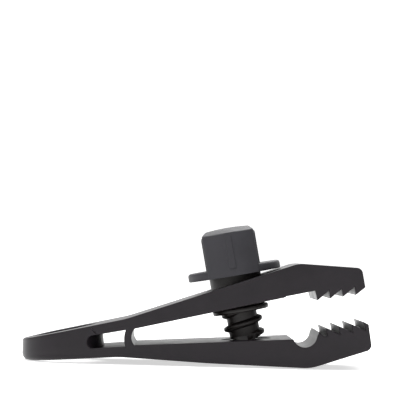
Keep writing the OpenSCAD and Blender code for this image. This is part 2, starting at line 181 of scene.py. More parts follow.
# Stage, in metres and watts: each lamp has its name, place, size and power
LAMPS = (
    ("key", (-0.25, -0.55, 0.9), 0.9, 6.0),
    ("back", (0.2, 0.6, 0.75), 0.8, 7.0),
    ("left", (-0.9, -0.05, 0.35), 0.6, 0.8),
)
SURROUND_STRENGTH = 0.5
FLOOR_SIZE, FLOOR_BACK, FLOOR_GLOW = 4, 0.2, 0.62
BACKDROP_HEIGHT, BACKDROP_BEND, BACKDROP_FROM = 3, 0.9, 1
CAMERA_PLACE = (-0.004662, -0.444747, 0.030103)
# Turns of the camera in degrees, the last one first
CAMERA_TURNS = ((-0.658, "Z"), (91.985, "X"), (1.525, "Z"))
CAMERA_SENSOR, CAMERA_LENS = 36, 143.53
CAMERA_NEAR, CAMERA_FAR = 0.01, 20


def place(along, height, side=0.0):
    """A point of the outlines as a place in the scene, in metres."""
    return Vector((TAIL_X + along * MM, side * MM, (height - FLOOR_HEIGHT) * MM))


def millimetres(length):
    """A length from the settings in millimetres, rounded to the digits that it was given with."""
    return round(length / MM, 4)


def arc(centre, radius, start, stop, steps):
    """Points round an arc, from one angle to another, in degrees."""
    turns = [math.radians(start + (stop - start) * i / steps) for i in range(steps + 1)]
    return [(centre[0] + radius * math.cos(t), centre[1] + radius * math.sin(t)) for t in turns]


def bowed(low, high, bow, steps=14):
    """Points of an arc between two places that bows towards the tail."""
    low, high = Vector(low[:2]), Vector(high[:2])
    half = (high - low).length / 2
    radius = (half * half + bow * bow) / (2 * bow)
    side = Vector((-(high - low)[1], (high - low)[0])).normalized()
    centre = (low + high) / 2 - side * (radius - bow)
    reach = math.degrees(math.asin(half / radius))
    heading = math.degrees(math.atan2(side[1], side[0]))
    return arc(centre, radius, heading + reach, heading - reach, steps)


def rounded(points, steps=10, longest_share=0.48):
    """An outline with an arc at each corner that has a third value, its radius."""
    out = []
    for i, point in enumerate(points):
        b = Vector(point[:2])
        if len(point) < 3:
            out.append(tuple(b))
            continue
        a, c = Vector(points[i - 1][:2]), Vector(points[(i + 1) % len(points)][:2])
        u, v = (a - b).normalized(), (c - b).normalized()
        half = math.acos(max(-1, min(1, u.dot(v)))) / 2
        longest = min((a - b).length, (c - b).length) * longest_share
        reach = min(point[2] / math.tan(half), longest)
        radius = reach * math.tan(half)
        centre = b + (u + v).normalized() * radius / math.sin(half)
        start, stop = b + u * reach - centre, b + v * reach - centre
        first = math.degrees(math.atan2(start[1], start[0]))
        sweep = (math.degrees(math.atan2(stop[1], stop[0])) - first + 540) % 360 - 180
        out += arc(centre, radius, first, first + sweep, steps)
    return out


def oblong(radius, stretch, steps):
    """An outline with two round ends, each moved out from the middle by the stretch."""
    return arc((stretch, 0), radius, -90, 90, steps) + arc((-stretch, 0), radius, 90, 270, steps)


def clear_selection():
    """Leaves edit mode and deselects every object."""
    if bpy.context.object and bpy.context.object.mode != "OBJECT":
        bpy.ops.object.mode_set(mode="OBJECT")
    bpy.ops.object.select_all(action="DESELECT")


def work_on(piece):
    """Makes one piece the selected and active one."""
    clear_selection()
    piece.select_set(True)
    bpy.context.view_layer.objects.active = piece


def settle(piece):
    """Puts the piece's place and turn into its mesh, with its origin at the scene's."""
    work_on(piece)
    bpy.ops.object.transform_apply(location=True, rotation=True, scale=True)


def pick(piece, kind, test):
    """Selects the vertices, edges or faces of a piece in edit mode that pass a test, and nothing else."""
    work_on(piece)
    bpy.ops.object.mode_set(mode="EDIT")
    bpy.ops.mesh.select_mode(type=kind)
    bpy.ops.mesh.select_all(action="DESELECT")
    bpy.ops.object.mode_set(mode="OBJECT")
    items = {"VERT": piece.data.vertices, "EDGE": piece.data.edges, "FACE": piece.data.polygons}[kind]
    for item in items:
        item.select = bool(test(item))
    bpy.ops.object.mode_set(mode="EDIT")


def trace(name, points, flat=False, closed=True):
    """Draws an outline point by point in the XZ plane, or in the XY plane when flat, in millimetres."""
    def lift(p):
        return Vector((p[0], p[1], 0) if flat else (p[0], 0, p[1])) * MM
    clear_selection()
    bpy.ops.mesh.primitive_plane_add(size=MM, location=lift(points[0]))
    piece = bpy.context.object
    piece.name = piece.data.name = name
    bpy.ops.object.mode_set(mode="EDIT")
    bpy.ops.mesh.select_mode(type="VERT")
    bpy.ops.mesh.select_all(action="SELECT")
    bpy.ops.mesh.merge(type="CENTER")
    for here, there in zip(points, points[1:]):
        bpy.ops.mesh.extrude_region_move(TRANSFORM_OT_translate={"value": lift(there) - lift(here)})
    bpy.ops.mesh.select_all(action="SELECT")
    if closed:
        bpy.ops.mesh.edge_face_add()
    bpy.ops.object.mode_set(mode="OBJECT")
    settle(piece)
    return piece


def thicken(piece, depth, flat=False):
    """Extrudes a filled outline both ways from its plane, to a depth in millimetres in all."""
    work_on(piece)
    bpy.ops.object.mode_set(mode="EDIT")
    bpy.ops.mesh.select_all(action="SELECT")
    way = Vector((0, 0, 1) if flat else (0, 1, 0)) * depth * MM
    bpy.ops.mesh.extrude_region_move(TRANSFORM_OT_translate={"value": way})
    bpy.ops.mesh.select_all(action="SELECT")
    bpy.ops.transform.translate(value=-way / 2)
    bpy.ops.mesh.normals_make_consistent(inside=False)
    bpy.ops.object.mode_set(mode="OBJECT")
    return piece


def cylinder(name, radius, low, high, sides=96):
    """An upright cylinder on the scene's origin between two heights, in millimetres."""
    clear_selection()
    bpy.ops.mesh.primitive_cylinder_add(
        vertices=sides, radius=radius * MM, depth=(high - low) * MM, location=(0, 0, (low + high) / 2 * MM)
    )
    piece = bpy.context.object
    piece.name = piece.data.name = name
    settle(piece)
    return piece


def block(name, low, high):
    """A box between two corners, in millimetres."""
    clear_selection()
    size = Vector(high) - Vector(low)
    bpy.ops.mesh.primitive_cube_add(size=1, location=(Vector(low) + Vector(high)) / 2 * MM, scale=size * MM)
    piece = bpy.context.object
    piece.name = piece.data.name = name
    settle(piece)
    return piece


def lathe(name, profile, steps=96, near=0.002):
    """Spins an open profile of (radius, height) points, in millimetres, once round the Z axis."""
    piece = trace(name, profile, closed=False)
    work_on(piece)
    bpy.ops.object.mode_set(mode="EDIT")
    bpy.ops.mesh.select_all(action="SELECT")
    bpy.ops.mesh.spin(steps=steps, angle=math.tau, center=(0, 0, 0), axis=(0, 0, 1))
    bpy.ops.mesh.select_all(action="SELECT")
    bpy.ops.mesh.remove_doubles(threshold=near * MM)
    bpy.ops.mesh.normals_make_consistent(inside=False)
    bpy.ops.object.mode_set(mode="OBJECT")
    return piece


def combine(piece, other, operation):
    """Joins, cuts or overlaps a piece with another, which is used up."""
    work_on(piece)
    modifier = piece.modifiers.new("shape", "BOOLEAN")
    modifier.operation = operation
    modifier.solver = "MANIFOLD"
    modifier.object = other
    bpy.ops.object.modifier_apply(modifier=modifier.name)
    bpy.data.objects.remove(other, do_unlink=True)
    return piece


def tidy_faces(piece, near=0.02, bend=0.4):
    """Merges doubles and dissolves the lines on flat faces: near is in millimetres and bend in degrees."""
    work_on(piece)
    bpy.ops.object.mode_set(mode="EDIT")
    bpy.ops.mesh.select_all(action="SELECT")
    bpy.ops.mesh.remove_doubles(threshold=near * MM)
    bpy.ops.mesh.dissolve_limited(angle_limit=math.radians(bend))
    bpy.ops.object.mode_set(mode="OBJECT")


def cut_through(piece, spot, normal):
    """Cuts all the faces of a piece along a plane."""
    work_on(piece)
    bpy.ops.object.mode_set(mode="EDIT")
    bpy.ops.mesh.select_all(action="SELECT")
    bpy.ops.mesh.bisect(plane_co=spot, plane_no=normal, threshold=PLANE_NEAR)
    bpy.ops.object.mode_set(mode="OBJECT")


def sharp_edges(piece, least=28):
    """Each outward edge whose two faces meet at more than an angle, with its middle in millimetres."""
    mesh = piece.data
    faces = {}
    for polygon in mesh.polygons:
        for key in polygon.edge_keys:
            faces.setdefault(key, []).append(polygon)
    for edge in mesh.edges:
        pair = faces.get(edge.key, [])
        if len(pair) != 2 or pair[0].normal.angle(pair[1].normal, 0) < math.radians(least):
            continue
        ends = [mesh.vertices[i].co for i in edge.vertices]
        along = (ends[1] - ends[0]).normalized()
        first = pair[0]
        loop = list(first.vertices)
        here = loop.index(edge.vertices[0])
        forward = loop[(here + 1) % len(loop)] == edge.vertices[1]
        inward = first.normal.cross(along if forward else -along)
        if inward.dot(pair[1].normal) < 0:
            yield edge, (ends[0] + ends[1]) / 2 / MM


def soften(piece, most, share, segments=3, least=28):
    """Rounds the sharp edges: share gives each edge its part of the largest rounding, in millimetres."""
    weights = piece.data.attributes.new("bevel_weight_edge", "FLOAT", "EDGE")
    for edge, middle in sharp_edges(piece, least):
        weights.data[edge.index].value = share(middle)
    work_on(piece)
    modifier = piece.modifiers.new("soft edges", "BEVEL")
    modifier.limit_method = "WEIGHT"
    modifier.width = most * MM
    modifier.segments = segments
    modifier.use_clamp_overlap = False
    bpy.ops.object.modifier_apply(modifier=modifier.name)
    piece.data.attributes.remove(piece.data.attributes["bevel_weight_edge"])


def smooth(piece, angle=32):
    """Shades the piece smooth, apart from its sharp edges, so that large flat faces stay even."""
    work_on(piece)
    bpy.ops.object.shade_smooth_by_angle(angle=math.radians(angle))
    modifier = piece.modifiers.new("even faces", "WEIGHTED_NORMAL")
    modifier.keep_sharp = True
    bpy.ops.object.modifier_apply(modifier=modifier.name)


def leaning(spot, lean, along=0.0, up=0.0):
    """A place along and up from a spot, in millimetres, in axes that lean towards the tail's end."""
    return spot + Matrix.Rotation(-lean, 3, "Y") @ Vector((along * MM, 0, up * MM))


def put(piece, spot, lean=0.0):
    """Moves a piece that was modelled at the origin to a place, leaning towards the tail's end."""
    piece.rotation_euler = (0, -lean, 0)
    piece.location = spot
    settle(piece)
    return piece


def to_screw_axis(piece):
    """Moves a piece that was modelled upright at the origin onto the leaning screw."""
    return put(piece, place(*SCREW_TOP), SCREW_LEAN)


def finish_piece(piece, material):
    """Gives a finished piece its material."""
    piece.data.materials.clear()
    piece.data.materials.append(material)


class ClipBodySizes(bpy.types.PropertyGroup):
    edge_round: FloatProperty(name="Edge rounding", description="Rounding of the moulded body's long edges",
                              default=0.00028, unit="LENGTH")
    tail_round: FloatProperty(name="Tail rounding", default=0.0018, unit="LENGTH",
                              description="Rounding of the lower edge round the tail's end")
    tail_top_round: FloatProperty(name="Tail top rounding", default=0.00045, unit="LENGTH",
                                  description="Rounding of the upper edge round the tail's end")
    tooth_round: FloatProperty(name="Tooth rounding", description="Rounding of the jaw teeth",
                               default=0.00008, unit="LENGTH")
    eye_length: FloatProperty(name="Rope eye length", description="Length of the rope eye in the tail",
                              default=0.0174, unit="LENGTH")
    eye_width: FloatProperty(name="Rope eye width", description="Width of the rope eye in the tail",
                             default=0.014, unit="LENGTH")
    notch_radius: FloatProperty(name="Notch radius", description="Radius of the notch that holds a line",
                                default=0.0033, unit="LENGTH")
    bend_cuts: IntProperty(name="Bend cuts", description="Edge rings in the stretch of each arm that bends",
                           default=7, min=3, max=20)


class ClipScrewSizes(bpy.types.PropertyGroup):
    collar_radius: FloatProperty(name="Collar radius", default=0.0072, unit="LENGTH",
                                 description="Radius of the plain collar in the upper arm")
    root_radius: FloatProperty(name="Root radius", description="Radius of the screw between its threads",
                               default=0.0043, unit="LENGTH")
    thread_radius: FloatProperty(name="Thread radius", description="Outer radius of the thread",
                                 default=0.00555, unit="LENGTH")
    pitch: FloatProperty(name="Pitch", description="Distance that the thread climbs in one turn",
                         default=0.00373, unit="LENGTH")
    length: FloatProperty(name="Length", description="Length of the screw below the knob's flange",
                          default=0.0183, unit="LENGTH")


class ClipKnobSizes(bpy.types.PropertyGroup):
    flange_radius: FloatProperty(name="Flange radius", description="Radius of the knob's flange",
                                 default=0.0129, unit="LENGTH")
    flange_thickness: FloatProperty(name="Flange thickness", description="Thickness of the knob's flange",
                                    default=0.0023, unit="LENGTH")
    wing_width: FloatProperty(name="Wing width", description="Thickness of the wing between its ribbed sides",
                              default=0.0142, unit="LENGTH")
    wing_length: FloatProperty(name="Wing length", description="Length of the wing at its foot",
                               default=0.0262, unit="LENGTH")
    height: FloatProperty(name="Height", description="Height of the knob above the flange's underside",
                          default=0.01335, unit="LENGTH")
    rib_count: IntProperty(name="Ribs", description="Ribs in each group on the wing's sides",
                           default=5, min=1, max=6)


class ClipColours(bpy.types.PropertyGroup):
    moulding: FloatVectorProperty(name="Moulding", description="Colour of the moulded body", subtype="COLOR",
                                  size=4, min=0, max=1, default=(0.0190, 0.0160, 0.0193, 1))
    knob: FloatVectorProperty(name="Knob", description="Colour of the thumb knob", subtype="COLOR",
                              size=4, min=0, max=1, default=(0.0355, 0.0343, 0.0400, 1))
    screw: FloatVectorProperty(name="Screw", description="Colour of the screw and its ring", subtype="COLOR",
                               size=4, min=0, max=1, default=(0.0125, 0.0095, 0.0087, 1))
    floor: FloatVectorProperty(name="Floor", description="Colour of the floor and backdrop", subtype="COLOR",
                               size=4, min=0, max=1, default=(0.92, 0.92, 0.92, 1))


def bare_material(name):
    """A new material with only its output, as the material, its nodes, its links and the surface socket."""
    material = bpy.data.materials.new(name)
    material.use_nodes = True
    nodes, links = material.node_tree.nodes, material.node_tree.links
    nodes.clear()
    return material, nodes, links, nodes.new("ShaderNodeOutputMaterial").inputs["Surface"]


def grained_plastic(name, colour, roughness, grain, specular):
    """Moulded plastic: faint flow mottling, a fine cast grain and an uneven sheen."""
    material, nodes, links, surface = bare_material(name)
    spots = nodes.new("ShaderNodeTexCoord").outputs["Object"]

    def noise(scale, detail):
        texture = nodes.new("ShaderNodeTexNoise")
        texture.inputs["Scale"].default_value = scale
        texture.inputs["Detail"].default_value = detail
        links.new(spots, texture.inputs["Vector"])
        return texture

    def bump(texture, strength, distance):
        bumps = nodes.new("ShaderNodeBump")
        bumps.inputs["Strength"].default_value = strength
        bumps.inputs["Distance"].default_value = distance
        links.new(texture.outputs["Fac"], bumps.inputs["Height"])
        return bumps

    shader = nodes.new("ShaderNodeBsdfPrincipled")
    shader.inputs["Specular IOR Level"].default_value = specular
    flow = noise(90, 5)
    flow.inputs["Roughness"].default_value = 0.62
    tint = nodes.new("ShaderNodeValToRGB")
    for element, position, share in zip(tint.color_ramp.elements, TINT_PLACES, TINT_SHARES):
        element.position = position
        element.color = [min(1, c * share) for c in colour[:3]] + [1]
    sheen = nodes.new("ShaderNodeMapRange")
    sheen.inputs["From Min"].default_value = 0.3
    sheen.inputs["From Max"].default_value = 0.7
    sheen.inputs["To Min"].default_value = roughness - SHEEN_LESS
    sheen.inputs["To Max"].default_value = roughness + SHEEN_MORE
    waves = bump(noise(340, 2), strength=grain * 0.5, distance=0.00006)
    fine = bump(noise(2600, 3), strength=grain, distance=0.00002)
    links.new(waves.outputs["Normal"], fine.inputs["Normal"])
    links.new(flow.outputs["Fac"], tint.inputs["Fac"])
    links.new(flow.outputs["Fac"], sheen.inputs["Value"])
    links.new(tint.outputs["Color"], shader.inputs["Base Color"])
    links.new(sheen.outputs["Result"], shader.inputs["Roughness"])
    links.new(fine.outputs["Normal"], shader.inputs["Normal"])
    links.new(shader.outputs["BSDF"], surface)
    return material


def line_height(line, along):
    """Height of one of the arms' straight inner faces at a place along the clip."""
    return line[1] + (along - line[0]) * math.tan(math.radians(line[2]))


def moved(point, step, times=1):
    """A point moved by a number of steps."""
    return point[0] + times * step[0], point[1] + times * step[1]


def body_outline(notch_radius):
    """The whole moulded body seen from the side, as points round it from the tail's underside."""
    lower = []
    for i in reversed(range(TEETH)):
        tip = moved(FIRST_LOWER_TOOTH, LOWER_TOOTH_STEP, i)
        lower += [tip, moved(tip, LOWER_TOOTH_VALLEY)]
    lower.append(moved(FIRST_LOWER_TOOTH, (-LOWER_TOOTH_VALLEY[0], LOWER_TOOTH_VALLEY[1])))
    back_lip = line_height(GAP_FLOOR, NOTCH_CENTRE[0] - notch_radius) - NOTCH_CENTRE[1]
    back_angle = math.degrees(math.asin(back_lip / notch_radius))
    notch = arc(NOTCH_CENTRE, notch_radius, NOTCH_FRONT_ANGLE, -180 - back_angle, 22)
    gap_end = bowed(GAP_FLOOR, GAP_CEILING, GAP_BOW)
    step, rise = STEP_UNDER_UPPER_ARM
    root = FIRST_UPPER_TOOTH[0] + 2 * UPPER_TOOTH_VALLEY[0]
    upper = [(step, line_height(GAP_CEILING, step)), (step + rise, line_height(GAP_CEILING, step) + rise),
             (root, line_height(GAP_CEILING, root) + rise / 2), FIRST_UPPER_TOOTH]
    for i in range(1, TEETH):
        tip = moved(FIRST_UPPER_TOOTH, UPPER_TOOTH_STEP, i)
        upper += [moved(tip, UPPER_TOOTH_VALLEY), tip]
    return rounded(UNDERSIDE + CHIN + lower + [NOTCH_LIP] + notch + gap_end + upper + NOSE + TAIL_TOP)


def ridge(name, radius, height, span, crest_depth, pitch, run=7, steps=48, near=0.05):
    """A thread's ridge: radius is (root, crest) and height its half height at each, in millimetres."""
    from_depth, to_depth = span
    turns = (to_depth - from_depth) / pitch
    start = math.tau * (crest_depth - to_depth) / pitch
    root, crest = radius
    section = [(root, -height[0]), (crest, -height[1]), (crest, height[1]), (root, height[0])]
    corners = len(section)
    piece = trace(name, section, closed=False)
    work_on(piece)
    bpy.ops.object.mode_set(mode="EDIT")
    bpy.ops.mesh.select_all(action="SELECT")
    bpy.ops.mesh.edge_face_add()
    bpy.ops.mesh.delete(type="ONLY_FACE")
    bpy.ops.object.mode_set(mode="OBJECT")
    piece.rotation_euler = (0, 0, start)
    piece.location = (0, 0, -to_depth * MM)
    settle(piece)
    winding = piece.modifiers.new("winding", "SCREW")
    winding.axis = "Z"
    winding.angle = math.tau * turns
    winding.screw_offset = pitch * turns * MM
    winding.steps = winding.render_steps = int(steps * turns)
    winding.use_merge_vertices = False
    winding.use_normal_calculate = False
    work_on(piece)
    bpy.ops.object.modifier_apply(modifier=winding.name)
    rings = len(piece.data.vertices) // corners
    if rings * corners != len(piece.data.vertices):
        raise RuntimeError("the thread's ridge has no whole number of rings")
    hidden = root / crest
    for i in range(run):
        share = (i + 0.5) / run
        size = hidden + (1 - hidden) * share
        for end in (i, rings - 1 - i):
            pick(piece, "VERT", lambda v: v.index // corners == end
                 and abs(v.co.xy.length / MM - crest) < near)
            bpy.ops.transform.resize(value=(size, size, 1), center_override=(0, 0, 0))
    pick(piece, "EDGE", lambda e: False)
    bpy.ops.mesh.select_non_manifold()
    bpy.ops.mesh.fill_holes(sides=corners)
    bpy.ops.mesh.select_all(action="SELECT")
    bpy.ops.mesh.normals_make_consistent(inside=False)
    bpy.ops.object.mode_set(mode="OBJECT")
    return piece


class TARPCLIP_OT_moulded_body(bpy.types.Operator):
    """Models the one moulded body: tail with its rope eye, web, and both toothed arms"""
    bl_idname = "tarpclip.moulded_body"
    bl_label = "Moulded body"
    bl_options = {"REGISTER", "UNDO"}

    def execute(self, context):
        sizes = context.scene.tarp_clip_body
        low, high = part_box("tail_loop")
        width = (high[1] - low[1]) / MM
        front = (CAD_BOX[1][0] - TAIL_X) / MM
        body = put(thicken(trace("clip_body", body_outline(sizes.notch_radius / MM)), width), place(0, 0))
        combine(body, self.plan(width, front), "INTERSECT")
        holes = [self.upper_hole(), self.lower_hole(), self.seat()]
        for cutter in [self.slot(sizes, width), self.eye(sizes)] + holes:
            combine(body, cutter, "DIFFERENCE")
        tidy_faces(body)
        self.round_edges(body, sizes, width)
        tidy_faces(body)
        material = grained_plastic("moulded_nylon", context.scene.tarp_clip_colours.moulding, *MOULDED_NYLON)
        nut = self.nut(millimetres(context.scene.tarp_clip_screw.pitch), material)
        self.halve(body, nut, sizes, material)
        return {"FINISHED"}

    def plan(self, width, front):
        """The body's outline seen from above, with a round tail, as a tall block."""
        outline = arc((width / 2, 0), width / 2, 90, 270, 64)
        for side, turns in ((-1, (-90, 0)), (1, (0, 90))):
            centre = (front + PLAN_OVERRUN - FRONT_CORNER, side * (width / 2 - FRONT_CORNER))
            outline += arc(centre, FRONT_CORNER, *turns, 4)
        return put(thicken(trace("plan", outline, flat=True), PLAN_CUT, flat=True), place(0, 0))

    def slot(self, sizes, width):
        """The slot through the tail's sides, with the rope eye's wall standing round into it."""
        along, floor, height = SLOT_END
        web, web_floor, web_ceiling, bow = SLOT_WEB
        end = arc((along + height / 2, floor + height / 2), height / 2, 90, 270, 16)
        outline = end + bowed((web, web_floor), (web, web_ceiling), bow)
        cutter = put(thicken(trace("slot", outline), width + 2 * SLOT_PASS), place(0, 0))
        wall = cylinder("eye_wall", EYE_WALL_RADIUS, -WALL_CUT, WALL_CUT, sides=256)
        along = EYE_END_WALL + millimetres(sizes.eye_length) + EYE_FRONT_WALL - EYE_WALL_RADIUS
        put(wall, leaning(place(0, EYE_HEIGHT), EYE_LEAN, along=along), EYE_LEAN)
        return combine(cutter, wall, "DIFFERENCE")

    def eye(self, sizes):
        """The upright rope eye, leaning towards the tail's end."""
        radius, stretch = sizes.eye_width / 2 / MM, (sizes.eye_length - sizes.eye_width) / 2 / MM
        cutter = thicken(trace("eye", oblong(radius, stretch, 32), flat=True), EYE_CUT, flat=True)
        along = EYE_END_WALL + millimetres(sizes.eye_length) / 2
        return put(cutter, leaning(place(0, EYE_HEIGHT), EYE_LEAN, along=along), EYE_LEAN)

    def upper_hole(self):
        """The long hole in the upper arm that the screw's collar turns in."""
        outline = oblong(UPPER_HOLE_RADIUS, UPPER_HOLE_STRETCH, 36)
        cutter = thicken(trace("upper_hole", outline, flat=True), UPPER_HOLE_DEPTH, flat=True)
        lean = SCREW_LEAN + UPPER_HOLE_LEAN
        crossing = leaning(place(*SCREW_TOP), SCREW_LEAN, up=UPPER_HOLE_CROSSING)
        return put(cutter, leaning(crossing, lean, up=UPPER_HOLE_RISE), lean)

    def lower_hole(self):
        """The hole in the lower arm that the thread is cut in."""
        return to_screw_axis(cylinder("lower_hole", LOWER_HOLE_RADIUS, *LOWER_HOLE_SPAN))

    def seat(self):
        """The shallow seat round that hole, sunk square into the arm's inner face."""
        cutter = cylinder("seat", SEAT_RADIUS, *SEAT_SPAN)
        spot = leaning(place(*SCREW_TOP), SCREW_LEAN, up=SEAT_PLACE)
        return put(cutter, spot, math.radians(GAP_FLOOR[2]))

    def round_edges(self, body, sizes, width):
        """Rounds the body's edges: most round the tail's end, least on the teeth."""
        most, least, upper = sizes.tail_round / MM, sizes.edge_round / MM, sizes.tail_top_round / MM
        for cut in RIM_CUTS:
            cut_through(body, place(cut, 0), (1, 0, 0))
        cut_through(body, (0, 0, 0), (0, 1, 0))

        def share(middle):
            along = middle[0] - TAIL_X / MM
            if math.hypot(min(0, along - width / 2), middle[1]) > width / 2 - RIM_BAND:
                passed = sum(along > cut for cut in RIM_CUTS) / len(RIM_CUTS)
                here = most if middle[2] < RIM_MIDDLE else upper
                return (here + (least - here) * passed) / most
            if along > TEETH_FROM and TEETH_LOW < middle[2] < TEETH_HIGH:
                return sizes.tooth_round / MM / most
            return least / most

        soften(body, most, share)

    def nut(self, pitch, material):
        """The ridge that stands in the lower arm's hole, between the screw's turns."""
        crest_depth = THREAD_CREST_DEPTH + pitch / 2
        nut = to_screw_axis(ridge("nut_thread", NUT_RADIUS, NUT_HALF_HEIGHT, NUT_SPAN, crest_depth, pitch))
        combine(nut, block("keep", *ABOVE_UNDERSIDE), "INTERSECT")
        smooth(nut)
        finish_piece(nut, material)
        return nut

    def halve(self, body, nut, sizes, material):
        """Parts the body at a plane hidden in its slot and gap into a lower and an upper moulding, each with
        edge rings across the stretch where the arm bends from the tail.
        """
        middle, slope = PARTING
        normal = Vector((-math.sin(math.radians(slope)), 0, math.cos(math.radians(slope))))
        work_on(body)
        bpy.ops.object.duplicate()
        other = bpy.context.object
        for piece, name, upper in ((body, "lower_moulding", False), (other, "upper_moulding", True)):
            piece.name = piece.data.name = name
            work_on(piece)
            bpy.ops.object.mode_set(mode="EDIT")
            bpy.ops.mesh.select_all(action="SELECT")
            bpy.ops.mesh.bisect(plane_co=place(*middle), plane_no=normal, use_fill=True, threshold=PLANE_NEAR,
                                clear_inner=upper, clear_outer=not upper)
            bpy.ops.object.mode_set(mode="OBJECT")
            for i in range(sizes.bend_cuts):
                along = BEND_FROM + (BEND_TO - BEND_FROM) * (i + 0.5) / sizes.bend_cuts
                cut_through(piece, place(along, 0), (1, 0, 0))
            cut_through(piece, (0, 0, 0), (0, 1, 0))
            smooth(piece)
            finish_piece(piece, material)
        work_on(body)
        nut.select_set(True)
        bpy.ops.object.join()
        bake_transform(body)
        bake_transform(other)
        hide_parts("lower_arm", "lower_flexure", "tail_loop")
        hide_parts("upper_arm", "upper_flexure")


class TARPCLIP_OT_screw(bpy.types.Operator):
    """Models the screw: plain collar, neck, coarse thread and tip"""
    bl_idname = "tarpclip.screw"
    bl_label = "Screw"
    bl_options = {"REGISTER", "UNDO"}

    def execute(self, context):
        sizes = context.scene.tarp_clip_screw
        collar, root, crest = (v / MM for v in (sizes.collar_radius, sizes.root_radius, sizes.thread_radius))
        length, pitch = sizes.length / MM, sizes.pitch / MM
        foot = COLLAR_LENGTH + COLLAR_BEVEL
        shank = lathe("screw", [
            (0, 0), (collar, 0), (collar, -COLLAR_LENGTH), (collar - COLLAR_BEVEL, -foot), (root, -foot),
            (root, -length + TIP_TAPER), (TIP_RADIUS + TIP_EDGE[0], -length + TIP_EDGE[1]),
            (TIP_RADIUS, -length), (0, -length),
        ])
        thread = ridge("thread", (root - THREAD_SUNK, crest), THREAD_HALF_HEIGHT, THREAD_SPAN,
                       THREAD_CREST_DEPTH, pitch)
        soften(thread, THREAD_EDGE, lambda middle: float(middle.xy.length > crest - THREAD_EDGE_BAND),
               segments=2, least=20)
        combine(thread, block("below_ring", *BELOW_RING), "INTERSECT")
        combine(shank, thread, "UNION")
        to_screw_axis(shank)
        smooth(shank, 38)
        material = grained_plastic("screw_nylon", context.scene.tarp_clip_colours.screw, *SCREW_NYLON)
        finish_piece(shank, material)
        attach(shank, "thumb_screw")
        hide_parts("screw_shank")
        return {"FINISHED"}


class TARPCLIP_OT_ring(bpy.types.Operator):
    """Models the split ring that keeps the screw in the upper arm"""
    bl_idname = "tarpclip.ring"
    bl_label = "Retaining ring"
    bl_options = {"REGISTER", "UNDO"}

    def execute(self, context):
        foot = RING_TOP - RING_THICKNESS
        corner = RING_BEVEL * RING_BEVEL_MIDDLE
        ring = lathe("split_ring", [
            (RING_HOLE, foot), (RING_RIM - RING_BEVEL, foot), (RING_RIM - corner, foot + corner),
            (RING_RIM, foot + RING_BEVEL), (RING_RIM, RING_TOP - RING_BEVEL),
            (RING_RIM - corner, RING_TOP - corner), (RING_RIM - RING_BEVEL, RING_TOP),
            (RING_HOLE, RING_TOP), (RING_HOLE, foot),
        ])
        combine(ring, block("slit", *SLIT), "DIFFERENCE")
        soften(ring, RING_EDGE, lambda middle: 1.0, segments=2)
        to_screw_axis(ring)
        smooth(ring)
        material = grained_plastic("ring_nylon", context.scene.tarp_clip_colours.screw, *RING_NYLON)
        finish_piece(ring, material)
        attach(ring, "ring")
        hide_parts("retaining_ring")
        return {"FINISHED"}


